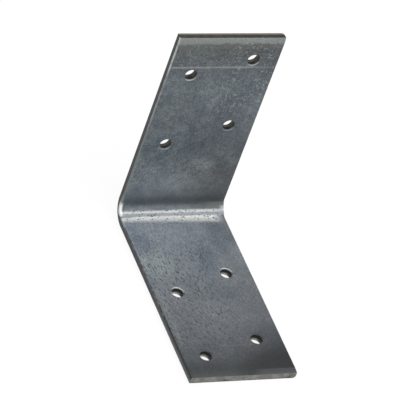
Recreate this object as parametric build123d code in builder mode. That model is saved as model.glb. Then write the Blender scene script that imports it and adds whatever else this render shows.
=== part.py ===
from build123d import *

import math
import os

# Angle bracket: one galvanised steel strip, punched with nail holes and folded to a right angle.
# The base leg lies along +X with its outer face on the ground, and the upright leg stands along +Z at the low X end.
# The fold's hollow side faces +X and +Z. The origin is the middle of the base leg's outer face.
# All sizes are in millimetres.

# Strip and fold
sheet_thickness = 2.7
strip_width = 37.7
inside_leg_length = 76.2
inside_bend_radius = 4.5

# Shear roll at the two cut ends, where the blade drew the inner face down
end_roll_length = 2.6
end_roll_drop = 0.35

# Slitting roll along the two long edges: the left one on the inner face, the right one on the outer face
inner_edge_roll = 0.5
outer_edge_roll = 1.2

# Metal squeezed out sideways where the inside of the fold is pressed together
swell_height = 0.3
swell_radius = 3.6

# Punched nail holes: a rolled rim on the inner face, a straight land, then a torn cone to the outer face
hole_diameter = 4.0
rim_roll = 0.35
break_spread = 0.12
break_depth = 1.3

# Hole pattern: two lines of holes, and on each line a pair set by its distances from the leg's end
hole_line_spacing = 20.4
hole_line_shift = -0.3
near_pair = (9.3, 37.9)
far_pair = (15.6, 45.9)

# Worked out from the sizes above
leg_length = inside_leg_length + sheet_thickness
leg_end = leg_length / 2
upright_back = leg_end - leg_length
upright_front = upright_back + sheet_thickness
right_side = strip_width / 2
left_side = -right_side
fold_mid_inset = inside_bend_radius * (1 - math.sqrt(0.5))
swell_centre = Vector(upright_front + fold_mid_inset, 0, sheet_thickness + fold_mid_inset)
break_angle = 2 * math.degrees(math.atan2(break_spread, break_depth))
hole_places = [(distance, -hole_line_spacing / 2) for distance in near_pair]
hole_places += [(distance, hole_line_spacing / 2) for distance in far_pair]

# Planes on the outer faces, at the legs' ends: local X runs back towards the fold, local Z points out of the steel
base_outside = Plane((leg_end, hole_line_shift, 0), x_dir=(-1, 0, 0), z_dir=(0, 0, -1))
upright_outside = Plane((upright_back, hole_line_shift, leg_length), x_dir=(0, 0, -1), z_dir=(-1, 0, 0))

# The section across the fold, with both ends rolled over on the inner face
with BuildSketch(Plane.XZ) as fold_section:
    with BuildLine():
        outer_path = FilletPolyline(
            (leg_end, 0),
            (upright_back, 0),
            (upright_back, leg_length),
            radius=inside_bend_radius + sheet_thickness,
        )
        inner_path = FilletPolyline(
            (leg_end - end_roll_length, sheet_thickness),
            (upright_front, sheet_thickness),
            (upright_front, leg_length - end_roll_length),
            radius=inside_bend_radius,
        )
        base_tip = (leg_end, sheet_thickness - end_roll_drop)
        upright_tip = (upright_front - end_roll_drop, leg_length)
        TangentArc(inner_path @ 0, base_tip, tangent=-(inner_path % 0))
        TangentArc(inner_path @ 1, upright_tip, tangent=inner_path % 1)
        Line(outer_path @ 0, base_tip)
        Line(outer_path @ 1, upright_tip)
    make_face()

# A low round hump on each side plane, turned from two equal arcs so that its slope eases in and out
with BuildPart() as swell_form:
    with BuildSketch(Plane(swell_centre, x_dir=(1, 0, 0), z_dir=(0, 0, 1))):
        with BuildLine():
            crown = (0, right_side + swell_height)
            half_way = (swell_radius / 2, right_side + swell_height / 2)
            foot = (swell_radius, right_side)
            TangentArc(crown, half_way, tangent=(1, 0))
            TangentArc(foot, half_way, tangent=(-1, 0))
            Polyline(crown, (0, 0), (swell_radius, 0), foot)
        make_face()
    revolve(axis=Axis(swell_centre, (0, 1, 0)))
    mirror(about=Plane.XZ)

# Only the part of the humps that lies over the section is steel
with BuildPart() as side_swells:
    extrude(fold_section.sketch, amount=right_side + swell_height, both=True)
    add(swell_form.part, mode=Mode.INTERSECT)

with BuildPart() as angle_bracket:
    extrude(fold_section.sketch, amount=right_side, both=True)
    add(side_swells.part)

    # The slitting rolls run the whole way along their edges, through the fold
    inner_left_edge = angle_bracket.edges().sort_by_distance((0, left_side, sheet_thickness))[0]
    fillet(inner_left_edge, radius=inner_edge_roll)
    outer_right_edge = angle_bracket.edges().sort_by_distance((0, right_side, 0))[0]
    fillet(outer_right_edge, radius=outer_edge_roll)

    # The punch came in from the inner face and tore out at the outer one, so each hole widens there
    with Locations(base_outside, upright_outside):
        with Locations(*hole_places):
            CounterSinkHole(
                radius=hole_diameter / 2,
                counter_sink_radius=hole_diameter / 2 + break_spread,
                counter_sink_angle=break_angle,
            )
    base_inside = angle_bracket.faces().sort_by_distance((0, 0, sheet_thickness))[0]
    fillet(base_inside.inner_wires().edges(), radius=rim_roll)
    upright_inside = angle_bracket.faces().sort_by_distance((upright_front, 0, leg_end))[0]
    fillet(upright_inside.inner_wires().edges(), radius=rim_roll)

angle_bracket.part.label = "angle_bracket"
os.makedirs("parts", exist_ok=True)
export_step(angle_bracket.part, "parts/angle_bracket.step")
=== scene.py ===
"""Visual model of a folded steel angle bracket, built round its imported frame.

Sizes are in millimetres and become metres when a mesh is written. A point of the strip has three coordinates:
along, which is 0 at the middle of the fold, below 0 on the upright leg and above 0 on the base leg; across, over
the width; and height, which is 0 on the outer face and the sheet's thickness on the inner face.
"""

import logging
import math
from dataclasses import dataclass, field
from enum import Enum
from typing import Any, Sequence, Union

import bpy
import numpy as np
from mathutils import Euler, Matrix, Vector

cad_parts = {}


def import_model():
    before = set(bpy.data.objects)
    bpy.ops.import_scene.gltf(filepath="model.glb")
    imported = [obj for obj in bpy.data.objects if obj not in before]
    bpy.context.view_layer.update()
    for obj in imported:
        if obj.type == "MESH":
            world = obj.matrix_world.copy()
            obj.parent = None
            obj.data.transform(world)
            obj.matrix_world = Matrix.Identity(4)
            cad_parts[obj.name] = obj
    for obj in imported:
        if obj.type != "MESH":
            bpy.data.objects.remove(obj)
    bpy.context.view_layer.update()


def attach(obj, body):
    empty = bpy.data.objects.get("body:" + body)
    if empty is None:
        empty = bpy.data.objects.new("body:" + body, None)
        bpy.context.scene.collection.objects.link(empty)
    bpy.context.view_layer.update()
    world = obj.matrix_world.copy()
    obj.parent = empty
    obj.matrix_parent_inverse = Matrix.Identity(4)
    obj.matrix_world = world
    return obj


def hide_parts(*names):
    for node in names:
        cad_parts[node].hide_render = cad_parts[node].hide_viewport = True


LOG = logging.getLogger("bracket")
MM = 0.001
WELDS_PER_MM = 1e5
TOUCH = 0.01
Colour = tuple[float, float, float]
Point = tuple[float, float, float]
WHITE: Colour = (1.0, 1.0, 1.0)


def tone(red: int, green: int, blue: int) -> Colour:
    """Turns a colour written in screen values from 0 to 255 into the linear values that shaders take.

    Args:
        red, green, blue: screen values of the colour.

    Returns:
        The linear colour.
    """
    shares = np.array([red, green, blue]) / 255.0
    linear = np.where(shares <= 0.04045, shares / 12.92, ((shares + 0.055) / 1.055) ** 2.4)
    return tuple(float(share) for share in linear)


def ease(value: np.ndarray, low: float, high: float) -> np.ndarray:
    """Rises from 0 at low to 1 at high along the cubic 3t^2 - 2t^3, level outside.

    Args:
        value: the values to ease.
        low: where the rise starts.
        high: where it ends.

    Returns:
        The eased values.
    """
    share = np.clip((value - low) / (high - low), 0.0, 1.0)
    return share * share * (3.0 - 2.0 * share)


def divided(start: float, runs: Sequence[tuple[float, int]]) -> np.ndarray:
    """Divides a line run by run, each run evenly from the end of the one before.

    Args:
        start: where the first run starts.
        runs: pairs of where a run ends and its number of cells.

    Returns:
        Increasing values, from start to the end of the last run.
    """
    values = [np.array([start])]
    for stop, cells in runs:
        values.append(np.linspace(values[-1][-1], stop, cells + 1)[1:])
    return np.concatenate(values)


class Leg(Enum):
    """The two legs, with the sign of along on each."""

    UPRIGHT = -1
    BASE = 1


@dataclass(frozen=True)
class StripSizes:
    """Sizes of the folded strip, which are the solid's apart from two.

    The burred corners are rounded by burr_round, and the swell is 0.03 lower, to leave room for the relief.
    """

    thickness: float = 2.7
    width: float = 37.7
    leg_length: float = 78.9
    inner_radius: float = 4.5
    end_roll_length: float = 2.6
    end_roll_drop: float = 0.35
    inner_edge_roll: float = 0.5
    outer_edge_roll: float = 1.2
    burr_round: float = 0.09
    swell_height: float = 0.27
    swell_radius: float = 3.6
    hole_radius: float = 2.0
    rim_roll: float = 0.35
    break_spread: float = 0.12
    break_depth: float = 1.3
    left_line: float = -10.5
    right_line: float = 9.9
    near_pair: tuple[float, float] = (9.3, 37.9)
    far_pair: tuple[float, float] = (15.6, 45.9)

    @property
    def outer_radius(self) -> float:
        """Radius of the fold on the outer face."""
        return self.inner_radius + self.thickness

    @property
    def bend_length(self) -> float:
        """Length of the fold along the middle of the sheet."""
        return math.pi / 2 * (self.inner_radius + self.thickness / 2)

    @property
    def half_length(self) -> float:
        """Distance along the strip from the middle of the fold to an end."""
        return self.leg_length - self.outer_radius + self.bend_length / 2

    @property
    def half_width(self) -> float:
        """Half of the strip's width."""
        return self.width / 2

    @property
    def holes(self) -> list[tuple[float, float]]:
        """Place of each hole, as (along, across)."""
        pairs = {
            (Leg.UPRIGHT, self.left_line): self.far_pair,
            (Leg.UPRIGHT, self.right_line): self.near_pair,
            (Leg.BASE, self.left_line): self.near_pair,
            (Leg.BASE, self.right_line): self.far_pair,
        }
        return [
            (leg.value * (self.half_length - distance), across)
            for (leg, across), pair in pairs.items()
            for distance in pair
        ]


@dataclass(frozen=True)
class SmoothNoise:
    """Seeded noise that is smooth between the corners of a square lattice."""

    seed: int
    corners: int = 128

    def at(self, first: np.ndarray, second: np.ndarray, cell: float) -> np.ndarray:
        """Reads the noise: a random number at each lattice corner, blended over each cell with eased shares.

        Args:
            first: first coordinate of the points.
            second: second coordinate of the points.
            cell: size of a lattice cell.

        Returns:
            Values from -1 to 1.
        """
        table = np.random.default_rng(self.seed).uniform(-1.0, 1.0, (self.corners, self.corners))
        places, shares = [], []
        for coordinate in (first, second):
            scaled = np.asarray(coordinate, dtype=float) / cell + 4 * self.corners
            place = np.floor(scaled)
            share = scaled - place
            places.append(place.astype(int))
            shares.append(share * share * (3.0 - 2.0 * share))
        (i, j), (s, t) = places, shares
        i0, i1, j0, j1 = i % self.corners, (i + 1) % self.corners, j % self.corners, (j + 1) % self.corners
        low = table[i0, j0] * (1 - s) + table[i1, j0] * s
        high = table[i0, j1] * (1 - s) + table[i1, j1] * s
        return low * (1 - t) + high * t


@dataclass
class Patch:
    """A grid of points and the four-sided faces between them."""

    points: np.ndarray
    faces: np.ndarray

    @staticmethod
    def from_grid(points: np.ndarray, keep: Union[np.ndarray, None] = None, flip: bool = False) -> "Patch":
        """Joins neighbouring points of a grid into faces whose outward side follows first index, then second.

        Args:
            points: array of rows x columns x 3.
            keep: which of the (rows - 1) x (columns - 1) faces to keep; all without it.
            flip: turn the faces over.

        Returns:
            The patch.
        """
        rows, columns = points.shape[:2]
        index = np.arange(rows * columns).reshape(rows, columns)
        corners = [index[:-1, :-1], index[1:, :-1], index[1:, 1:], index[:-1, 1:]]
        faces = np.stack(corners[::-1] if flip else corners, axis=-1)
        chosen = faces.reshape(-1, 4) if keep is None else faces[keep]
        return Patch(points.reshape(-1, 3), chosen)


@dataclass
class FoldedStrip:
    """The bracket itself: one strip of sheet with rolled edges, eight punched holes and one fold.

    Known fault: the tiles of the two holes nearest each end overlap by 0.1 mm along the strip, so the border of the
    inner one is welded on one side only and the mesh has 288 open edges. A tile_half of 3.15 closes them.
    """

    sizes: StripSizes = field(default_factory=StripSizes)
    tile_half: float = 3.2
    tile_cells: int = 12
    cell: float = 0.6
    fine_end: float = 3.2
    fine_edge: float = 1.8
    waviness: float = 0.014
    hammering: float = 0.01
    nick_depth: float = 0.1
    tear_depth: float = 0.04
    slit_depth: float = 0.012
    cut_reach: float = 0.25
    ragged_roll: float = 0.22

    def lines_along(self) -> np.ndarray:
        """Grid lines along the strip, closer at the ends, at the tiles' borders and round the fold.

        Returns:
            Increasing values of along.
        """
        sizes = self.sizes
        tiles = sorted({distance for pair in (sizes.near_pair, sizes.far_pair) for distance in pair})
        runs = [(sizes.burr_round, 3), (self.cell, 4), (self.fine_end, 9)]
        for distance in tiles:
            start, stop = distance - self.tile_half, distance + self.tile_half
            if start - runs[-1][0] > 1e-6:
                runs.append((start, max(1, round((start - runs[-1][0]) / self.cell))))
            runs.append((stop, self.tile_cells))
        straight = sizes.leg_length - sizes.outer_radius
        runs.append((straight, round((straight - runs[-1][0]) / self.cell)))
        runs.append((sizes.half_length, round(sizes.bend_length / self.cell)))
        upright = divided(0.0, runs) - sizes.half_length
        return np.concatenate([upright, -upright[-2::-1]])

    def lines_across(self) -> np.ndarray:
        """Grid lines across the strip, closer at both long edges.

        Returns:
            Increasing values of across.
        """
        sizes = self.sizes
        edge, tile = sizes.half_width, self.tile_half
        runs = [
            (sizes.burr_round - edge, 3),
            (sizes.inner_edge_roll - edge, 4),
            (self.fine_edge - edge, 4),
            (sizes.left_line - tile, 6),
            (sizes.left_line + tile, self.tile_cells),
            (sizes.right_line - tile, 24),
            (sizes.right_line + tile, self.tile_cells),
            (edge - self.fine_edge, 6),
            (edge - sizes.outer_edge_roll, 2),
            (edge - sizes.burr_round, 9),
            (edge, 3),
        ]
        return divided(-edge, runs)

    def lines_high(self) -> np.ndarray:
        """Grid lines through the thickness, from the outer face to the inner one.

        Returns:
            Increasing values of height.
        """
        sizes = self.sizes
        top = sizes.thickness
        runs = [
            (sizes.burr_round, 3),
            (sizes.outer_edge_roll, 8),
            (top - sizes.inner_edge_roll, 4),
            (top - sizes.burr_round, 4),
            (top, 3),
        ]
        return divided(0.0, runs)

    def box_patches(self) -> list[Patch]:
        """Six faces of the flat strip as grids that share their border lines, with the holes' tiles left open.

        Returns:
            The patches, in strip coordinates.
        """
        sizes = self.sizes
        along, across, high = self.lines_along(), self.lines_across(), self.lines_high()
        middle_along = (along[:-1] + along[1:]) / 2
        middle_across = (across[:-1] + across[1:]) / 2
        keep = np.ones((len(middle_along), len(middle_across)), dtype=bool)
        for hole_along, hole_across in sizes.holes:
            inside_along = np.abs(middle_along - hole_along) < self.tile_half
            inside_across = np.abs(middle_across - hole_across) < self.tile_half
            keep &= ~np.outer(inside_along, inside_across)
        patches = []
        for height, flip in ((sizes.thickness, False), (0.0, True)):
            u, v = np.meshgrid(along, across, indexing="ij")
            patches.append(Patch.from_grid(np.stack([u, v, np.full_like(u, height)], -1), keep, flip))
        for side, flip in ((sizes.half_width, False), (-sizes.half_width, True)):
            w, u = np.meshgrid(high, along, indexing="ij")
            patches.append(Patch.from_grid(np.stack([u, np.full_like(u, side), w], -1), None, flip))
        for end, flip in ((sizes.half_length, False), (-sizes.half_length, True)):
            v, w = np.meshgrid(across, high, indexing="ij")
            patches.append(Patch.from_grid(np.stack([np.full_like(v, end), v, w], -1), None, flip))
        return patches

    def hole_patch(self, place: tuple[float, float]) -> Patch:
        """One hole's tile: a closed profile turned about the hole's axis, spread out to the tile's square border.

        The profile runs from the square border over the inner face, round the rolled rim, down the punched land, out
        along the torn cone and over the outer face. On the two faces a ring is a blend of the circle round the hole
        and the square, and its share of the square grows from 0 to 1.

        Args:
            place: (along, across) of the hole.

        Returns:
            The patch, in strip coordinates.
        """
        sizes, cells = self.sizes, self.tile_cells
        side = np.linspace(-1.0, 1.0, cells + 1)[:-1]
        one = np.ones(cells)
        square = np.concatenate(
            [np.stack(pair, -1) for pair in ((side, -one), (one, side), (-side, one), (-one, -side))]
        )
        square = np.concatenate([square, square[:1]]) * self.tile_half
        angles = -0.75 * math.pi + np.linspace(0.0, 2.0 * math.pi, 4 * cells + 1)
        circle = np.stack([np.cos(angles), np.sin(angles)], -1)
        top, radius = sizes.thickness, sizes.hole_radius
        shares = np.array([1.0, 0.75, 0.5, 0.28, 0.12, 0.03, 0.0])
        turn = np.radians([75.0, 60.0, 45.0, 30.0, 15.0, 0.0])
        land = np.linspace(top - sizes.rim_roll, sizes.break_depth, 4)[1:]
        cone = np.linspace(0.0, 1.0, 6)[1:]
        sections = [
            (np.full(7, radius + sizes.rim_roll), np.full(7, top), shares),
            (radius + sizes.rim_roll * (1 - np.cos(turn)), top - sizes.rim_roll * (1 - np.sin(turn)), 0 * turn),
            (np.full(3, radius), land, 0 * land),
            (radius + cone * sizes.break_spread, sizes.break_depth * (1 - cone), 0 * cone),
            (np.full(6, radius + sizes.break_spread), np.zeros(6), shares[-2::-1]),
        ]
        radii, heights, squareness = (np.concatenate(column) for column in zip(*sections))
        flat = circle[:, None, :] * radii[None, :, None] * (1 - squareness)[None, :, None]
        flat = flat + square[:, None, :] * squareness[None, :, None]
        points = np.empty(flat.shape[:2] + (3,))
        points[..., 0] = flat[..., 0] + place[0]
        points[..., 1] = flat[..., 1] + place[1]
        points[..., 2] = heights[None, :]
        return Patch.from_grid(points)

    def flat_mesh(self) -> tuple[np.ndarray, np.ndarray]:
        """Joins all patches of the flat strip into one mesh and welds the points that lie together.

        Returns:
            Points in strip coordinates, and faces as rows of four point numbers.
        """
        patches = self.box_patches() + [self.hole_patch(place) for place in self.sizes.holes]
        starts = np.cumsum([0] + [len(patch.points) for patch in patches[:-1]])
        points = np.concatenate([patch.points for patch in patches])
        faces = np.concatenate([patch.faces + start for patch, start in zip(patches, starts)])
        keys = np.round(points * WELDS_PER_MM).astype(np.int64)
        _, first, number = np.unique(keys, axis=0, return_index=True, return_inverse=True)
        faces = number.reshape(-1)[faces]
        used, compact = np.unique(faces, return_inverse=True)
        return points[first][used], compact.reshape(faces.shape)

    def hole_offsets(self, points: np.ndarray) -> np.ndarray:
        """Offset of each point from the nearest hole's axis.

        Args:
            points: points in strip coordinates.

        Returns:
            Array of points x 2, along and across.
        """
        holes = np.array(self.sizes.holes)
        offsets = points[:, None, :2] - holes[None, :, :]
        nearest = np.argmin((offsets**2).sum(-1), axis=1)
        return offsets[np.arange(len(points)), nearest]

    def soften(self, points: np.ndarray) -> np.ndarray:
        """Rounds the box's corners: what lies beyond a smaller box is drawn onto its rounded offset.

        The vector from the smaller box to the point is scaled by its largest part over its length. Then the two long
        edges get their own larger radii in the same way, over across and height alone.

        Args:
            points: points in strip coordinates.

        Returns:
            The moved points.
        """
        sizes = self.sizes
        limit = np.array([sizes.half_length, sizes.half_width, sizes.thickness / 2])
        middle = np.array([0.0, 0.0, sizes.thickness / 2])
        centred = points - middle
        core = np.clip(centred, sizes.burr_round - limit, limit - sizes.burr_round)
        beyond = centred - core
        length = np.linalg.norm(beyond, axis=1, keepdims=True)
        largest = np.abs(beyond).max(axis=1, keepdims=True)
        moved = core + beyond * np.where(length > 1e-9, largest / np.maximum(length, 1e-9), 1.0) + middle
        for side, radius, inner in ((-1, sizes.inner_edge_roll, True), (1, sizes.outer_edge_roll, False)):
            edge = side * moved[:, 1] - (sizes.half_width - radius)
            rise = moved[:, 2] - (sizes.thickness - radius) if inner else radius - moved[:, 2]
            corner = (edge > 0) & (rise > 0)
            factor = np.maximum(edge, rise)[corner] / np.hypot(edge, rise)[corner]
            across = sizes.half_width - radius + edge[corner] * factor
            height = rise[corner] * factor
            moved[corner, 1] = side * across
            moved[corner, 2] = sizes.thickness - radius + height if inner else radius - height
        return moved

    def roll_ends(self, points: np.ndarray) -> np.ndarray:
        """Draws the inner face down towards both cut ends along an arc that is tangent to the face.

        With s the distance into the roll, the drop is R - sqrt(R^2 - s^2), and heights are scaled by it. The roll's
        length wanders a little across the strip.

        Args:
            points: points in strip coordinates.

        Returns:
            The moved points.
        """
        sizes = self.sizes
        side = np.where(points[:, 0] < 0, 40.0, 0.0)
        wander = SmoothNoise(11).at(points[:, 1] + side, points[:, 1] * 0 + side, 1.3)
        wander = wander + 0.6 * SmoothNoise(12).at(points[:, 1] + side, points[:, 1] * 0, 0.6)
        length = sizes.end_roll_length + self.ragged_roll * wander
        into = np.clip(length - (sizes.half_length - np.abs(points[:, 0])), 0.0, None)
        radius = (length**2 + sizes.end_roll_drop**2) / (2 * sizes.end_roll_drop)
        drop = radius - np.sqrt(radius**2 - into**2)
        moved = points.copy()
        moved[:, 2] *= 1 - drop / sizes.thickness
        return moved

    def relief(self, points: np.ndarray) -> np.ndarray:
        """Adds the low relief of real sheet: waviness, hammering, torn cut faces and nicks in the rolled edge.

        All of it goes into the steel, so the strip stays inside its sizes.

        Args:
            points: points in strip coordinates.

        Returns:
            The moved points.
        """
        sizes = self.sizes
        along, across, height = points.T
        moved = points.copy()
        inner = ease(height, 0.8, sizes.thickness)
        outer = 1 - ease(height, 0.0, 1.9)
        broad = SmoothNoise(21).at(along, across, 13.0) * self.waviness
        peel = SmoothNoise(22).at(along, across, 1.5) + 0.6 * SmoothNoise(23).at(along, across, 0.8)
        fold = np.exp(-((along / 4.5) ** 2))
        rough = peel * self.hammering * (1 + 0.8 * fold)
        moved[:, 2] -= inner * (self.waviness + broad + rough)
        moved[:, 2] += outer * (self.waviness + broad + 0.5 * rough + self.hammering)
        ends = ease(np.abs(along), sizes.half_length - self.cut_reach, sizes.half_length)
        torn = SmoothNoise(31).at(across, height * 3, 0.8) + 0.7 * SmoothNoise(32).at(across, height * 2, 0.4)
        moved[:, 0] -= np.sign(along) * ends * self.tear_depth * (1.7 + torn) / 2
        sides = ease(np.abs(across), sizes.half_width - self.cut_reach, sizes.half_width)
        slit = SmoothNoise(41).at(along, height * 2 + across, 1.6) + 0.5 * SmoothNoise(42).at(along, height * 3, 0.6)
        moved[:, 1] -= np.sign(across) * sides * self.slit_depth * (1.5 + slit)
        corner = ease(-across, sizes.half_width - 0.9, sizes.half_width) * ease(height, 1.7, sizes.thickness)
        notch = ease(SmoothNoise(51).at(along, 0 * along, 1.1), 0.45, 0.95)
        moved[:, 1] += corner * notch * self.nick_depth
        moved[:, 2] -= corner * notch * self.nick_depth * 0.6
        return moved

    def fold(self, points: np.ndarray) -> np.ndarray:
        """Folds the flat strip: straight legs outside the bend, and polar coordinates about its centre inside.

        In the bend, the angle grows evenly with along from 0 to 90 degrees and the radius is the outer radius less
        the height. Then the sides swell near the inside of the bend by a hump of two equal arcs.

        Args:
            points: points in strip coordinates.

        Returns:
            Points in the part's frame, in millimetres.
        """
        sizes = self.sizes
        along, across, height = points.T
        half_bend = sizes.bend_length / 2
        centre_x, centre_z = sizes.outer_radius - sizes.leg_length / 2, sizes.outer_radius
        angle = np.clip((along + half_bend) / sizes.bend_length, 0.0, 1.0) * math.pi / 2
        radius = sizes.outer_radius - height
        x = centre_x - radius * np.cos(angle) + np.clip(along - half_bend, 0.0, None)
        z = centre_z - radius * np.sin(angle) + np.clip(-along - half_bend, 0.0, None)
        inset = sizes.inner_radius * math.sqrt(0.5)
        reach = np.hypot(x - centre_x + inset, z - centre_z + inset) / sizes.swell_radius
        hump = np.where(reach < 0.5, 1 - 2 * reach**2, 2 * np.clip(1 - reach, 0.0, None) ** 2)
        weight = ease(np.abs(across), sizes.half_width - 3.0, sizes.half_width)
        y = across + np.sign(across) * weight * hump * sizes.swell_height
        return np.stack([x, y, z], -1)

    def build(self) -> bpy.types.Object:
        """Builds the whole strip as one mesh object with its surface attributes.

        The attributes are strip_place, the flat strip's coordinates; hole_offset, the offset from the nearest hole;
        and cut_zones, with 1 on the end faces, on the side faces and on the holes' walls.

        Returns:
            The object.
        """
        sizes = self.sizes
        flat, faces = self.flat_mesh()
        solid = self.fold(self.relief(self.roll_ends(self.soften(flat)))) * MM
        mesh = bpy.data.meshes.new("folded_strip")
        mesh.vertices.add(len(solid))
        mesh.vertices.foreach_set("co", solid.ravel())
        mesh.loops.add(faces.size)
        mesh.loops.foreach_set("vertex_index", faces.ravel().astype(np.int32))
        mesh.polygons.add(len(faces))
        mesh.polygons.foreach_set("loop_start", np.arange(0, faces.size, 4, dtype=np.int32))
        mesh.update(calc_edges=True)
        mesh.validate()
        mesh.shade_smooth()
        offsets = self.hole_offsets(flat)
        zones = np.zeros((len(flat), 3))
        zones[:, 0] = np.abs(flat[:, 0]) > sizes.half_length - TOUCH
        zones[:, 1] = np.abs(flat[:, 1]) > sizes.half_width - TOUCH
        near = np.hypot(*offsets.T) < sizes.hole_radius + sizes.rim_roll + TOUCH
        zones[:, 2] = near & (flat[:, 2] > TOUCH) & (flat[:, 2] < sizes.thickness - 0.75 * sizes.rim_roll)
        for name, values in (
            ("strip_place", flat),
            ("hole_offset", np.column_stack([offsets, np.zeros(len(flat))])),
            ("cut_zones", zones),
        ):
            attribute = mesh.attributes.new(name, "FLOAT_VECTOR", "POINT")
            attribute.data.foreach_set("vector", values.astype(np.float32).ravel())
        piece = bpy.data.objects.new("folded_strip", mesh)
        bpy.context.collection.objects.link(piece)
        LOG.info("folded_strip: %d points, %d faces", len(flat), len(faces))
        return piece


class Term:
    """A shader socket that takes part in Python expressions; each operator adds one Math node."""

    def __init__(self, graph: "Graph", socket: bpy.types.NodeSocket) -> None:
        """Keeps the graph and the socket."""
        self.graph = graph
        self.socket = socket

    def math(self, operation: str, *others: "Value") -> "Term":
        """Adds a Math node.

        Args:
            operation: the node's operation.
            others: the values after this one.

        Returns:
            The node's result.
        """
        return self.graph.maths(operation, self, *others)

    def __add__(self, other: "Value") -> "Term":
        """This plus other."""
        return self.math("ADD", other)

    def __sub__(self, other: "Value") -> "Term":
        """This less other."""
        return self.math("SUBTRACT", other)

    def __rsub__(self, other: "Value") -> "Term":
        """Other less this."""
        return self.graph.maths("SUBTRACT", other, self)

    def __mul__(self, other: "Value") -> "Term":
        """This times other."""
        return self.math("MULTIPLY", other)

    def __truediv__(self, other: "Value") -> "Term":
        """This over other."""
        return self.math("DIVIDE", other)

    __radd__, __rmul__ = __add__, __mul__

    def __abs__(self) -> "Term":
        """Size of this."""
        return self.math("ABSOLUTE")

    def least(self, other: "Value") -> "Term":
        """The smaller of the two."""
        return self.math("MINIMUM", other)

    def most(self, other: "Value") -> "Term":
        """The larger of the two."""
        return self.math("MAXIMUM", other)

    def rise(self, low: float, high: float) -> "Term":
        """Eased rise from 0 at low to 1 at high; a fall where low is above high.

        Args:
            low: where the result is 0.
            high: where the result is 1.

        Returns:
            The eased value.
        """
        ends = {"From Min": min(low, high), "From Max": max(low, high)}
        ends.update({"To Min": 0.0, "To Max": 1.0} if low < high else {"To Min": 1.0, "To Max": 0.0})
        return self.graph.term(
            "ShaderNodeMapRange", "Result", {"interpolation_type": "SMOOTHSTEP"}, {"Value": self, **ends}
        )

    def bump(self, low: float, high: float, soft: float) -> "Term":
        """1 between low and high with eased sides of width soft.

        Args:
            low: where the band starts.
            high: where the band ends.
            soft: width of each eased side.

        Returns:
            The band.
        """
        return self.rise(low - soft / 2, low + soft / 2) * self.rise(high + soft / 2, high - soft / 2)


Value = Union[Term, float, int, Colour]


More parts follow.
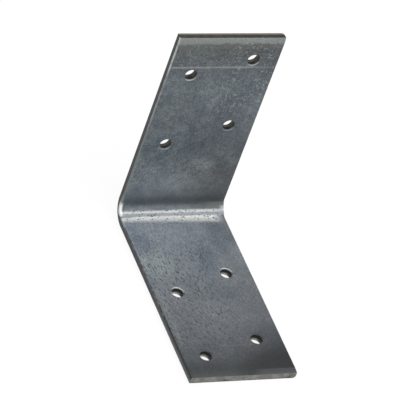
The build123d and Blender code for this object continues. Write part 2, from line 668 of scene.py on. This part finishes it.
class Graph:
    """The node tree of a material or of the world, filled from the coordinates to the shader."""

    def __init__(self, owner: Union[bpy.types.Material, bpy.types.World]) -> None:
        """Empties the owner's tree."""
        owner.use_nodes = True
        self.tree = owner.node_tree
        self.tree.nodes.clear()

    def node(
        self, kind: str, settings: Union[dict[str, Any], None] = None, inputs: Union[dict[Any, Any], None] = None
    ) -> bpy.types.Node:
        """Adds any node: its settings first, then the values or links of its sockets.

        Args:
            kind: the node's type.
            settings: the node's own properties; stops are a ramp's (place, colour) pairs.
            inputs: socket name or number to a value, a Term or a socket.

        Returns:
            The node.
        """
        made = self.tree.nodes.new(kind)
        for key, value in (settings or {}).items():
            if key == "stops":
                ramp = made.color_ramp
                while len(ramp.elements) < len(value):
                    ramp.elements.new(0.5)
                for element, (place, colour) in zip(ramp.elements, value):
                    element.position = place
                    element.color = (*colour, 1.0)
                ramp.interpolation = "CARDINAL"
            else:
                setattr(made, key, value)
        for key, value in (inputs or {}).items():
            target = made.inputs[key]
            if isinstance(value, Term):
                self.tree.links.new(value.socket, target)
            elif isinstance(value, bpy.types.NodeSocket):
                self.tree.links.new(value, target)
            elif isinstance(value, tuple) and target.type == "RGBA":
                target.default_value = (*value, 1.0)
            else:
                target.default_value = value
        return made

    def term(
        self,
        kind: str,
        output: Union[str, int],
        settings: Union[dict[str, Any], None] = None,
        inputs: Union[dict[Any, Any], None] = None,
    ) -> Term:
        """Adds any node and wraps one of its outputs."""
        return Term(self, self.node(kind, settings, inputs).outputs[output])

    def maths(self, operation: str, *values: Value) -> Term:
        """Adds a Math node on the given values."""
        return self.term("ShaderNodeMath", 0, {"operation": operation}, dict(enumerate(values)))

    def mix(self, share: Value, first: Value, second: Value, blend: str = "MIX") -> Term:
        """Mixes two colours.

        Args:
            share: how much of second shows.
            first: the colour below.
            second: the colour above.
            blend: the Mix node's blend type.

        Returns:
            The mixed colour.
        """
        settings = {"data_type": "RGBA", "blend_type": blend, "clamp_factor": True}
        return self.term("ShaderNodeMix", 2, settings, {0: share, 6: first, 7: second})

    def noise(self, vector: Term, cell: float, detail: float = 2.0, rough: float = 0.5, warp: float = 0.0) -> Term:
        """Fractal noise from 0 to 1.

        Args:
            vector: where it is read.
            cell: size of its largest features, in the vector's units.
            detail: octaves.
            rough: strength of the finer octaves.
            warp: distortion.

        Returns:
            The noise.
        """
        inputs = {"Vector": vector, "Scale": 1.0 / cell, "Detail": detail, "Roughness": rough, "Distortion": warp}
        return self.term("ShaderNodeTexNoise", 0, {}, inputs)

    def cells(self, vector: Term, size: float) -> Term:
        """Distance to the nearest of scattered points, in shares of their spacing.

        Args:
            vector: where it is read.
            size: spacing of the points.

        Returns:
            The distance.
        """
        return self.term("ShaderNodeTexVoronoi", "Distance", {"feature": "F1"}, {"Vector": vector, "Scale": 1.0 / size})

    def ramp(self, value: Term, stops: Sequence[tuple[float, Colour]]) -> Term:
        """Blends colours along a value.

        Args:
            value: where the ramp is read.
            stops: pairs of a value and the colour there, in rising order.

        Returns:
            The colour.
        """
        first, last = stops[0][0], stops[-1][0]
        shares = [((place - first) / (last - first), colour) for place, colour in stops]
        factor = (value - first) / (last - first)
        return self.term("ShaderNodeValToRGB", 0, {"stops": shares}, {0: factor})

    def stretched(self, vector: Term, turn: float, along: float, across: float) -> Term:
        """Turns a pattern's coordinates about the face's normal, then scales them.

        Args:
            vector: the coordinates.
            turn: angle in radians.
            along: factor on the first coordinate; below 1 it draws the pattern out.
            across: factor on the second.

        Returns:
            The new coordinates.
        """
        inputs = {"Vector": vector, "Rotation": (0.0, 0.0, turn), "Scale": (1.0 / along, 1.0 / across, 1.0)}
        return self.term("ShaderNodeMapping", 0, {"vector_type": "TEXTURE"}, inputs)

    def shown(self) -> Term:
        """1 for rays that show a background: the camera's, reflected and transmitted ones; 0 for others."""
        path = self.node("ShaderNodeLightPath")
        camera, glossy, through = (
            Term(self, path.outputs[ray]) for ray in ("Is Camera Ray", "Is Glossy Ray", "Is Transmission Ray")
        )
        return camera.most(glossy).most(through)


@dataclass(frozen=True)
class Blotch:
    """A soft oval cloud in the coating, lighter than round it where strength is above 0, else darker."""

    from_end: float
    across: float
    length: float
    breadth: float
    strength: float


@dataclass(frozen=True)
class GalvanisedFinish:
    """Dull zinc coating on sheet steel, with clouds, pits, painted highlights along the fold and sheared edges.

    Colours are of the coating itself, in linear values, apart from the painted highlights and painted shades. A leg's
    colour and shade run is its colour by the distance from its end, with painted shade that darkens the base leg
    towards its end and the upright leg just above the fold.
    """

    upright_blotches: tuple[Blotch, ...] = (
        Blotch(9.0, -9.0, 5.0, 8.0, 0.5), Blotch(12.0, 16.0, 5.0, 4.0, -0.5), Blotch(19.0, 12.0, 6.0, 6.0, -0.3),
        Blotch(24.0, -1.0, 6.0, 5.0, 0.6), Blotch(19.0, -16.0, 6.0, 4.0, 0.5), Blotch(29.0, 17.0, 5.0, 3.5, 1.0),
        Blotch(31.0, 6.0, 6.0, 4.5, -0.5), Blotch(43.0, -8.0, 7.0, 5.0, 0.8), Blotch(46.0, -16.0, 6.0, 4.0, 0.8),
        Blotch(42.0, 10.0, 5.0, 6.0, -0.35), Blotch(53.0, 6.0, 5.0, 5.0, 0.8), Blotch(51.0, -9.0, 3.5, 3.5, 0.6),
        Blotch(56.0, -12.0, 3.5, 3.0, 0.5), Blotch(63.0, -3.0, 4.0, 8.0, 0.9), Blotch(66.5, -3.0, 4.0, 5.0, 0.35),
        Blotch(68.5, 10.0, 4.5, 7.0, 0.8), Blotch(75.2, 5.0, 2.2, 7.0, 1.0), Blotch(64.0, -16.0, 6.0, 3.5, -0.45),
        Blotch(11.0, -14.5, 4.0, 3.5, -0.35), Blotch(28.6, -2.5, 3.0, 5.0, 0.3), Blotch(33.0, -13.0, 4.0, 4.0, 0.45),
        Blotch(46.5, -8.0, 4.0, 5.0, 0.4), Blotch(55.0, 7.0, 3.0, 4.0, 0.5),
    )
    base_blotches: tuple[Blotch, ...] = (
        Blotch(19.5, 15.0, 6.0, 5.0, -0.5), Blotch(18.5, 18.5, 6.0, 2.0, -0.35), Blotch(5.0, 17.0, 4.0, 4.0, -0.5),
        Blotch(62.0, 14.5, 8.0, 5.0, -0.5), Blotch(52.0, 6.0, 6.0, 4.0, -0.5), Blotch(61.0, -15.0, 5.0, 4.5, -0.5),
        Blotch(37.0, 2.0, 4.0, 11.0, -0.25), Blotch(30.0, -3.0, 5.0, 4.0, 0.5), Blotch(57.0, 10.5, 5.0, 4.0, -0.35),
        Blotch(50.3, -10.7, 4.0, 4.0, 0.4), Blotch(50.5, 9.5, 2.5, 5.0, 0.5), Blotch(36.0, 6.5, 5.0, 5.0, -0.3),
        Blotch(18.5, 8.0, 4.0, 4.0, -0.3), Blotch(27.0, -8.0, 4.0, 4.0, 0.3), Blotch(14.0, -7.0, 4.0, 5.0, -0.35),
    )
    # Upright leg colour with painted shade: the dip at 71 mm is a painted dark band just above the fold.
    upright_colour_and_shade: tuple[tuple[float, Colour], ...] = (
        (3.0, tone(86, 90, 92)),
        (9.0, tone(86, 91, 94)),
        (16.0, tone(98, 105, 110)),
        (27.0, tone(101, 108, 113)),
        (37.0, tone(96, 102, 108)),
        (47.0, tone(91, 98, 104)),
        (52.0, tone(102, 109, 114)),
        (58.0, tone(122, 128, 132)),
        (66.0, tone(128, 134, 138)),
        (71.0, tone(97, 103, 108)),
        (76.0, tone(116, 121, 125)),
    )
    # Base leg colour with painted shade, darker towards its end.
    base_colour_and_shade: tuple[tuple[float, Colour], ...] = (
        (0.0, tone(30, 32, 35)),
        (5.0, tone(50, 53, 56)),
        (10.0, tone(74, 78, 81)),
        (15.0, tone(87, 91, 95)),
        (20.0, tone(97, 101, 105)),
        (30.0, tone(105, 109, 113)),
        (45.0, tone(116, 121, 126)),
        (58.0, tone(132, 138, 144)),
        (72.0, tone(144, 152, 160)),
    )
    # Lightening factor for clouds in the coating and for painted sheen.
    cloud_and_sheen: Colour = (1.32, 1.32, 1.28)
    bloom: Colour = (1.28, 1.30, 1.30)
    deep: Colour = (0.55, 0.60, 0.68)
    # Painted shade for the right side of the legs.
    right_shade_colour: Colour = tone(22, 24, 28)
    end_band: Colour = tone(137, 141, 140)
    fleck: Colour = tone(156, 160, 162)
    pit: Colour = tone(42, 46, 54)
    # Painted highlights: the light's reflection along the fold, and on the rims and at the fold's right end.
    highlight_line: Colour = tone(168, 170, 171)
    burnished: Colour = tone(224, 225, 222)
    # Painted highlight on the swell at the fold.
    swell_highlight: Colour = tone(252, 252, 252)
    edge_highlight: Colour = tone(205, 207, 206)
    # Painted crease shade beside the fold.
    crease_shade: Colour = tone(80, 82, 72)
    band_olive: Colour = tone(103, 107, 99)
    fold_shade: Colour = tone(70, 77, 83)
    # Painted dimmer highlight between the fold's highlight line and band.
    dim_highlight: Colour = tone(128, 131, 134)
    slit_side: Colour = tone(66, 68, 70)
    slit_outer: Colour = tone(106, 108, 109)
    slit_inner: Colour = tone(34, 36, 38)
    sheared_dark: Colour = tone(44, 43, 42)
    sheared_warm: Colour = tone(62, 55, 48)
    sheared_brown: Colour = tone(114, 109, 103)
    sheared_light: Colour = tone(128, 128, 124)
    sheared_bright: Colour = tone(150, 150, 146)
    stain: Colour = tone(92, 80, 44)
    hole_wall: Colour = tone(18, 18, 16)
    hole_tear: Colour = tone(92, 93, 88)
    # Olive land colour, painted only on the walls where light falls.
    hole_lit_side: Colour = tone(84, 82, 72)
    hole_lit_lower: Colour = tone(232, 230, 224)
    metallic: float = 0.35
    roughness: float = 0.45
    specular: float = 0.5
    bump_strength: float = 0.35
    bump_depth: float = 0.00003

    def material(self, sizes: StripSizes) -> bpy.types.Material:
        """Builds the finish.

        Args:
            sizes: the strip's sizes, for the places of the zones.

        Returns:
            The material.
        """
        material = bpy.data.materials.new("galvanised_steel")
        coating = Coating(Graph(material), sizes, self)
        coating.lay_legs()
        coating.lay_clouds()
        coating.lay_upright_end()
        coating.lay_base_face()
        coating.lay_fold()
        coating.lay_grain()
        coating.lay_long_edges()
        coating.lay_cut_ends()
        coating.lay_holes()
        coating.shade()
        return material


class Coating:
    """The strip's colour, laid on mark by mark, and the shader values that say where each mark lies.

    Numbers in rise and bump are places on the strip in millimetres, levels of a noise or, round a hole, cosines. A
    number that a share is multiplied by is the mark's strength.
    """

    def __init__(self, graph: Graph, sizes: StripSizes, finish: GalvanisedFinish) -> None:
        """Reads the strip's attributes and adds what several marks share.

        Args:
            graph: the material's tree.
            sizes: the strip's sizes.
            finish: the colours.
        """
        self.graph, self.sizes, self.finish = graph, sizes, finish
        self.place, (self.along, self.across, self.height) = self.read("strip_place")
        _, (self.cut, self.side, self.wall) = self.read("cut_zones")
        offset, (self.hole_along, self.hole_across, _) = self.read("hole_offset")
        self.from_hole = graph.term("ShaderNodeVectorMath", "Value", {"operation": "LENGTH"}, {0: offset})
        self.from_end = sizes.half_length - abs(self.along)
        self.on_base = self.along.rise(-1.0, 2.0)
        self.on_upright = 1 - self.on_base
        self.inner = self.height.rise(1.6, 2.4)
        self.clouds = self.noise(9.0, 3.0, 0.55, 0.6)
        self.mottle = self.noise(2.2, 3.0, 0.6)

    def read(self, name: str) -> tuple[Term, list[Term]]:
        """Reads an attribute of the mesh, as a vector and as its three parts."""
        vector = self.graph.term("ShaderNodeAttribute", "Vector", {"attribute_name": name})
        parts = self.graph.node("ShaderNodeSeparateXYZ", {}, {"Vector": vector})
        return vector, [Term(self.graph, part) for part in parts.outputs]

    def noise(self, cell: float, *character: float) -> Term:
        """Fractal noise over the strip; character is its detail, roughness and warp."""
        return self.graph.noise(self.place, cell, *character)

    def lay(self, share: Value, colour: Value) -> None:
        """Lays a colour over what is there."""
        self.colour = self.graph.mix(share, self.colour, colour)

    def tint(self, share: Value, factor: Colour) -> None:
        """Multiplies what is there by a factor for each channel."""
        self.colour = self.graph.mix(share, self.colour, factor, "MULTIPLY")

    def lay_legs(self) -> None:
        """Lays the colour of each leg from its end to the fold, then painted shade on its right side and painted sheen
        and shade over broad parts of it.
        """
        finish, across, from_end, on_base = self.finish, self.across, self.from_end, self.on_base
        # lean tilts the base leg's painted shade across the width.
        lean = across.most(-3.0) * (0.1 + from_end.rise(30.0, 5.0) * 0.4)
        upright = self.graph.ramp(from_end, finish.upright_colour_and_shade)
        self.colour = self.graph.mix(on_base, upright, self.graph.ramp(from_end - lean, finish.base_colour_and_shade))
        near_fold = from_end.rise(34.0, 62.0)
        # Painted shade: the right side of both legs is darker near the fold, and the base leg's right side is darker
        # along its length.
        right = across.rise(-8.0, 17.0) * self.on_upright + across.rise(2.0, 21.0) * on_base
        right = right * (0.3 + near_fold * 0.7) * (0.62 - 0.07 * on_base) * on_base.most(near_fold)
        right = right * (1 - across.rise(13.0, 17.0) * from_end.bump(47.0, 60.0, 6.0) * on_base * 0.6)
        self.lay(right, finish.right_shade_colour)
        # Painted sheen: the upright leg is lighter on its left side.
        left = across.rise(-8.0, -18.0) * from_end.rise(12.0, 18.0) * 0.5
        left = left + across.rise(-9.0, -16.0) * from_end.bump(38.0, 53.0, 8.0) * 0.9
        left = left + across.rise(2.0, -8.0) * from_end.rise(14.0, 9.0) * 0.75
        self.tint(left * self.on_upright, finish.cloud_and_sheen)
        # Painted sheen on the base leg's left part, and a painted highlight line along its rolled left edge.
        lit = across.rise(-4.0, -13.0) * from_end.bump(34.0, 57.0, 9.0) * 0.7
        lit = lit + across.bump(-17.8, -16.2, 0.9) * from_end.bump(14.0, 54.0, 6.0) * 0.8
        self.tint(lit * on_base, finish.cloud_and_sheen)
        # Painted shade in a valley across the base leg's middle, and near its left edge by the fold.
        valley_shade = across.bump(-0.5, 8.0, 6.0) * from_end.bump(42.0, 62.0, 9.0) * 0.45
        valley_shade = valley_shade + across.rise(-11.0, -16.0) * from_end.bump(62.0, 69.0, 4.0) * 0.3
        self.tint(valley_shade * on_base, finish.deep)

    def lay_clouds(self) -> None:
        """Tints the listed blotches, then the clouds, the mottling and the speckle of the zinc."""
        finish, on_base = self.finish, self.on_base
        for leg, blotches in ((Leg.UPRIGHT, finish.upright_blotches), (Leg.BASE, finish.base_blotches)):
            for blotch in blotches:
                middle = leg.value * (self.sizes.half_length - blotch.from_end)
                far_along = (self.along - middle) / blotch.length
                far_across = (self.across - blotch.across) / blotch.breadth
                share = (far_along * far_along + far_across * far_across).rise(1.5, 0.0) * abs(blotch.strength)
                self.tint(share, finish.cloud_and_sheen if blotch.strength > 0 else finish.deep)
        self.tint(self.clouds.rise(0.42, 0.66) * (0.6 - 0.35 * on_base), finish.cloud_and_sheen)
        self.tint(self.clouds.rise(0.52, 0.34) * (0.35 - 0.1 * on_base), finish.deep)
        self.tint(self.mottle.rise(0.60, 0.34) * (0.3 - 0.1 * on_base), finish.deep)
        speckle = self.noise(1.1, 3.0, 0.75)
        spotted = 1 - 0.65 * self.along.rise(-20.0, -8.0)
        self.tint(speckle.rise(0.5, 0.66) * spotted, finish.bloom)
        self.tint(speckle.rise(0.5, 0.32) * spotted * 0.6, finish.deep)

    def lay_upright_end(self) -> None:
        """Lays the pale band over the rolled end of the upright leg, the scored line and the flecks below it."""
        finish, across, from_end, face = self.finish, self.across, self.from_end, self.on_upright * self.inner
        self.lay(from_end.rise(1.8, 2.8) * from_end.rise(5.6, 3.4) * face * 0.6, finish.band_olive)
        wander = (self.noise(1.6, 3.0, 0.7) - 0.5) * 2.2
        band_end = self.sizes.end_roll_length - 0.42 + across.rise(-4.0, -15.0) * 0.3
        self.lay((band_end - from_end - wander).rise(-0.7, 0.5) * face, finish.end_band)
        score = from_end.bump(12.0, 12.75, 0.5) * (0.55 + 0.5 * self.mottle) * across.rise(22.0, 6.0)
        self.lay(score * face * 0.8, finish.fleck)
        dots = self.graph.cells(self.place, 1.1).rise(0.32, 0.18) * self.noise(2.5, 1.0).rise(0.42, 0.56)
        dot_zone = from_end.rise(2.6, 3.4) * from_end.rise(16.0, 11.0) * (1 - 0.45 * across.rise(0.0, 8.0))
        worms = abs(self.noise(1.6, 1.0) - 0.5).rise(0.07, 0.02) * self.noise(1.2, 1.0).rise(0.46, 0.58)
        worm_zone = across.rise(-2.0, 7.0) * from_end.rise(40.0, 26.0) * self.noise(7.0, 1.0).rise(0.32, 0.5)
        flecks = (dots * dot_zone * 0.55).most(worms * (worm_zone * 0.7).most(dot_zone * 0.25))
        self.lay(flecks * face, finish.fleck)

    def lay_base_face(self) -> None:
        """Lays the pits, the streaks and the faint light lines of the base leg."""
        finish, across, from_end, face = self.finish, self.across, self.from_end, self.on_base * self.inner
        pits = self.graph.cells(self.graph.stretched(self.place, 0.2, 0.3, 1.1), 0.68).rise(0.42, 0.16)
        pits = pits * self.noise(1.8, 2.0, 0.6).rise(0.33, 0.46)
        zone = (0.3 + across.rise(15.0, -2.0)).least(1.0) * (0.6 + self.clouds * 0.6)
        zone = zone * (0.85 - 0.5 * from_end.rise(54.0, 64.0)) * from_end.rise(6.0, 15.0)
        self.lay(pits * zone * face, finish.pit)
        streaks = self.graph.noise(self.graph.stretched(self.place, 0.22, 0.42, 1.3), 0.45, 2.0, 0.8)
        self.tint(streaks.rise(0.48, 0.64) * face * 0.55, finish.cloud_and_sheen)
        self.tint(streaks.rise(0.50, 0.32) * face * 0.75, finish.deep)
        last_strip = from_end.rise(2.5, 2.0) * across.rise(2.0, 8.0) * 0.12
        score = from_end.bump(12.9, 13.4, 0.4) * across.bump(-5.0, 7.0, 5.0) * 0.1
        near_end = from_end.rise(4.5, 0.8) * across.rise(6.0, -6.0) * 0.09
        self.lay((last_strip + score + near_end) * face, finish.end_band)

    def lay_fold(self) -> None:
        """Lays the painted shade above the fold, the painted highlight line and band along it with a dimmer painted
        highlight between, the pits in them, and painted light at the fold's right end.
        """
        finish, along, across, inner = self.finish, self.along, self.across, self.inner
        wander = self.noise(0.9, 2.0)
        ragged = along + (wander - 0.5) * 0.8
        far_left = across.rise(-13.0, -16.5)
        lowered = ragged - far_left * 0.5
        shade = lowered.rise(-7.6, -4.4) * lowered.rise(-1.7, -3.5)
        shade = shade * (0.7 - 0.15 * across.rise(-3.0, 4.0) - 0.4 * across.rise(4.0, 13.0) - 0.35 * far_left)
        shade = shade.most(far_left * ragged.bump(-2.0, -0.2, 0.8) * 0.4)
        self.lay(shade * inner, finish.fold_shade)
        # Painted sheen near the fold's right end.
        glow = across.rise(8.0, 16.5) * along.bump(-3.4, -0.3, 1.2)
        self.lay(glow * inner * 0.1, finish.burnished)
        # Painted dimmer highlight between the highlight line and band.
        self.lay(ragged.bump(0.9, 2.6, 0.8) * inner * 0.8, finish.dim_highlight)
        # Painted highlight line along the fold.
        line = (ragged + across.least(4.0) * 0.016).rise(-0.37, 0.13) * ragged.rise(1.25, 0.75)
        line = line * wander.rise(0.1, 0.45) * (1 - 0.35 * across.rise(15.0, 18.0))
        self.lay(line * inner, finish.highlight_line)
        # Painted highlight band along the fold.
        band = (ragged - far_left * 0.4).rise(2.1, 3.2) * (ragged - across * 0.03).rise(6.4, 4.2)
        band = band * across.rise(18.8, 13.5)
        self.lay(band * inner, finish.burnished)
        self.bright = line.most(band) * inner
        pits = self.graph.cells(self.place, 1.05).rise(0.40, 0.2) * self.noise(1.5, 1.0).rise(0.36, 0.48)
        self.lay(pits * ragged.bump(-0.6, 5.2, 0.8) * inner * 0.9, finish.fold_shade)
        # Painted highlight at the right end of the fold.
        right_tip = across.rise(16.8, 18.6) * along.bump(-1.6, 0.6, 1.2)
        self.lay(right_tip * inner * 0.5, finish.burnished)

    def lay_grain(self) -> None:
        """Tints the fine grain, which is weaker near the fold."""
        grain = self.noise(0.55, 2.0, 0.6)
        grainy = 1 - 0.6 * self.along.bump(-14.0, 3.0, 10.0)
        self.tint(grain.rise(0.45, 0.65) * grainy * 0.55, self.finish.cloud_and_sheen)
        self.tint(grain.rise(0.50, 0.32) * grainy * 0.35, self.finish.deep)

    def lay_long_edges(self) -> None:
        """Lays the slit sides, the painted highlight on the rolled left edge, a painted crease shade beside the fold
        and the painted highlight on the metal pushed out at the fold.
        """
        graph, finish, along, across, height = self.graph, self.finish, self.along, self.across, self.height
        from_end, on_base = self.from_end, self.on_base
        slit = graph.mix(height.rise(0.3, 2.2), finish.slit_outer, finish.slit_inner)
        slit = graph.mix(on_base * from_end.rise(40.0, 24.0), finish.slit_side, slit)
        self.lay(self.side, slit)
        # Painted highlight along the rolled left edge, dashed and fading towards the fold.
        rolled = across.rise(-18.6, -18.8) * height.rise(1.8, 2.0)
        dashes = graph.noise(graph.stretched(self.place, 0.0, 0.5, 0.05), 0.9, 1.0)
        upright_edge_highlight = from_end.rise(17.0, 11.0) * 0.65 + from_end.rise(56.0, 30.0) * dashes.rise(0.32, 0.5) * 0.55
        self.lay(rolled * self.on_upright * upright_edge_highlight.most(0.3), finish.edge_highlight)
        base_edge_highlight = from_end.rise(22.0, 28.0) * dashes.rise(0.42, 0.56) * 0.2 + from_end.rise(66.0, 72.0) * 0.4
        self.lay(rolled * on_base * base_edge_highlight, finish.edge_highlight)
        # Painted crease shade on the inner face at the fold's left end, beside the swell.
        beside_crease = across.bump(-18.0, -17.5, 0.3) * along.bump(-4.0, -1.0, 1.0)
        self.lay(beside_crease * self.inner * 0.3, finish.crease_shade)
        # Painted highlight on the swell of metal at the fold's left edge.
        squeeze_highlight = across.rise(-17.8, -18.6) * height.rise(1.1, 1.7)
        squeeze_highlight = squeeze_highlight * (along.rise(-4.6, -2.4) * 0.9 + along.rise(-8.0, -5.0) * 0.1)
        squeeze_highlight = squeeze_highlight * (along + (self.sizes.thickness - height) * 0.8).rise(2.6, 1.2)
        self.lay(squeeze_highlight, finish.swell_highlight)

    def lay_cut_ends(self) -> None:
        """Lays the sheared faces: dark and warm on the upright leg, lighter and stained on the base leg."""
        mix, finish, across, height = self.graph.mix, self.finish, self.across, self.height
        patches = self.noise(2.4, 3.0, 0.6)
        upright = mix(patches.rise(0.46, 0.62), finish.sheared_dark, finish.sheared_warm)
        upright = mix(height.rise(1.3, 0.5), upright, finish.sheared_brown)
        rusty = across.bump(-7.2, -5.4, 0.8) * height.rise(1.4, 0.8)
        rusty = rusty + across.bump(15.7, 17.6, 0.8) * height.rise(1.9, 1.3) * 0.8
        rusty = rusty * self.noise(1.0, 2.0, 0.6).rise(0.40, 0.55)
        base = mix(patches.rise(0.42, 0.62), finish.sheared_light, finish.sheared_bright)
        base = mix(self.mottle.rise(0.5, 0.34) * 0.5, base, finish.sheared_brown)
        base = mix(rusty, base, finish.stain)
        base = mix(height.rise(0.5, 0.1) * 0.7, base, finish.sheared_dark)
        self.lay(self.cut, mix(self.on_base, upright, base))

    def lay_holes(self) -> None:
        """Lays the holes' walls, torn near the outer face and painted lighter on one side where light falls, then the
        painted highlight and painted shade round their rims.
        """
        mix, finish, height, on_base = self.graph.mix, self.finish, self.height, self.on_base
        depth, from_hole = self.sizes.break_depth, self.from_hole
        to_fold, to_right = self.hole_along * (1 - 2 * on_base), self.hole_across
        torn = height.rise(depth + 0.2, depth - 0.2)
        wall = mix(torn * self.mottle.rise(0.4, 0.6), finish.hole_wall, finish.hole_tear)
        # Painted light on the lower part of the fold-side wall of the base leg's holes.
        lit_far_wall = ((to_fold * 0.97 + to_right * 0.25) / from_hole).rise(0.6, 0.95)
        wall = mix(on_base * height.rise(depth, 0.1) * lit_far_wall, wall, finish.hole_lit_lower)
        # Painted light: the olive land is shown only on the right-hand walls of the upright leg's holes.
        lit_right_wall = (to_right / from_hole).rise(0.3, 0.9) * self.on_upright
        self.lay(self.wall, mix(lit_right_wall * 0.7, wall, finish.hole_lit_side))
        # Painted highlight on the fold side and right of each rim.
        arc = ((to_fold * 0.9 + to_right * (0.2 + 0.25 * on_base)) / from_hole).rise(0.35, 0.85)
        outer_pair = self.from_end.rise(22.0, 28.0)
        arc_share = on_base * outer_pair * 0.75 + self.on_upright * (0.65 - 0.35 * outer_pair)
        rim = from_hole.bump(2.15, 2.45, 0.2) * self.inner * (1 - self.wall)
        self.lay(rim * arc * arc_share * 0.85, finish.burnished)
        # Painted shade outside the fold side of the rims of the base leg's holes nearest its end.
        rim_shade = from_hole.rise(3.1, 2.1) * arc * on_base * (1 - outer_pair) * self.inner
        self.tint(rim_shade, finish.deep)

    def shade(self) -> None:
        """Adds the roughness, the fine bumps and the shader, and ends the tree."""
        graph, finish = self.graph, self.finish
        rough = finish.roughness + (self.mottle - 0.5) * 0.2 + self.cut * 0.25 + self.side * 0.15 + self.wall * 0.2
        bumps = self.noise(0.45, 2.0, 0.6) * 0.6 + self.noise(1.6, 2.0, 0.5)
        bump = {"Strength": finish.bump_strength, "Distance": finish.bump_depth, "Height": bumps}
        inputs = {
            "Base Color": self.colour,
            "Metallic": finish.metallic,
            "Roughness": rough - self.bright * 0.08,
            "Specular IOR Level": finish.specular,
            "Normal": graph.term("ShaderNodeBump", "Normal", {}, bump),
        }
        shader = graph.node("ShaderNodeBsdfPrincipled", {}, inputs)
        graph.node("ShaderNodeOutputMaterial", {}, {"Surface": shader.outputs[0]})


@dataclass(frozen=True)
class SoftLamp:
    """One rectangular lamp with an even face."""

    name: str
    place: Point
    aim: Point
    width: float
    depth: float
    radiance: float

    def build(self) -> None:
        """Adds the lamp; its power is radiance times area times pi."""
        data = bpy.data.lights.new(self.name, "AREA")
        data.shape = "RECTANGLE"
        data.size, data.size_y = self.width, self.depth
        data.energy = self.radiance * self.width * self.depth * math.pi
        lamp = bpy.data.objects.new(self.name, data)
        lamp.location = self.place
        direction = Vector(self.aim) - Vector(self.place)
        lamp.rotation_euler = direction.to_track_quat("-Z", "Y").to_euler()
        bpy.context.collection.objects.link(lamp)


@dataclass(frozen=True)
class Studio:
    """Plain pale floor, soft lamps and an even surround."""

    floor_side: float = 6.0
    floor_drop: float = 0.0001
    floor_colour: Colour = (0.12, 0.12, 0.12)
    floor_glow: float = 0.89
    surround: float = 0.75
    lamps: tuple[SoftLamp, ...] = (
        SoftLamp("overhead_strip", (0.4, 0.62, 1.25), (0.0, 0.0, 0.02), 1.9, 0.45, 3.8),
        SoftLamp("front_fill", (1.6, -0.6, 0.7), (0.0, 0.0, 0.04), 1.2, 1.0, 1.0),
    )

    def plain(self, name: str, colour: Colour, glow: float) -> bpy.types.Material:
        """A matt surface that glows a little towards the camera, reflections and transmission.

        Args:
            name: the material's name.
            colour: its colour.
            glow: strength of the glow.

        Returns:
            The material.
        """
        material = bpy.data.materials.new(name)
        graph = Graph(material)
        matt = graph.node("ShaderNodeBsdfDiffuse", {}, {"Color": colour})
        glowing = graph.node("ShaderNodeEmission", {}, {"Color": WHITE, "Strength": graph.shown() * glow})
        total = graph.node("ShaderNodeAddShader", {}, {0: matt.outputs[0], 1: glowing.outputs[0]})
        graph.node("ShaderNodeOutputMaterial", {}, {"Surface": total.outputs[0]})
        return material

    def build(self) -> None:
        """Adds the floor, the lamps and the surround."""
        half = self.floor_side / 2
        mesh = bpy.data.meshes.new("floor")
        corners = [(-half, -half), (half, -half), (half, half), (-half, half)]
        mesh.from_pydata([(x, y, -self.floor_drop) for x, y in corners], [], [(0, 1, 2, 3)])
        floor = bpy.data.objects.new("floor", mesh)
        bpy.context.collection.objects.link(floor)
        floor.data.materials.append(self.plain("pale_floor", self.floor_colour, self.floor_glow))
        for lamp in self.lamps:
            lamp.build()
        world = bpy.data.worlds.new("surround")
        bpy.context.scene.world = world
        graph = Graph(world)
        strength = self.surround + (1.0 - self.surround) * graph.shown()
        background = graph.node("ShaderNodeBackground", {}, {"Color": WHITE, "Strength": strength})
        graph.node("ShaderNodeOutputWorld", {}, {"Surface": background.outputs[0]})
        LOG.info("studio: floor, %d lamps and surround", len(self.lamps))


@dataclass(frozen=True)
class LongLensCamera:
    """A long lens from above and to the right of the base leg's end, rolled to the side."""

    place: Point = (0.69759, -0.46766, 0.72134)
    turn_degrees: Point = (48.79051, -16.09576, 70.39165)
    lens: float = 291.95
    sensor: float = 36.0
    clip: tuple[float, float] = (0.05, 20.0)

    def build(self) -> None:
        """Adds the camera and makes it the scene's."""
        data = bpy.data.cameras.new("camera")
        data.lens = self.lens
        data.sensor_width = self.sensor
        data.clip_start, data.clip_end = self.clip
        camera = bpy.data.objects.new("camera", data)
        camera.location = self.place
        camera.rotation_euler = Euler([math.radians(angle) for angle in self.turn_degrees])
        bpy.context.collection.objects.link(camera)
        bpy.context.scene.camera = camera


def main() -> None:
    """Loads the frame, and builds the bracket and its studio."""
    logging.basicConfig(level=logging.INFO, format="%(name)s: %(message)s")
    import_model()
    bpy.context.scene.view_settings.view_transform = "Standard"
    LongLensCamera().build()
    Studio().build()
    strip = FoldedStrip()
    piece = strip.build()
    piece.data.materials.append(GalvanisedFinish().material(strip.sizes))
    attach(piece, "root")
    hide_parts("angle_bracket")


if __name__ == "__main__":
    main()
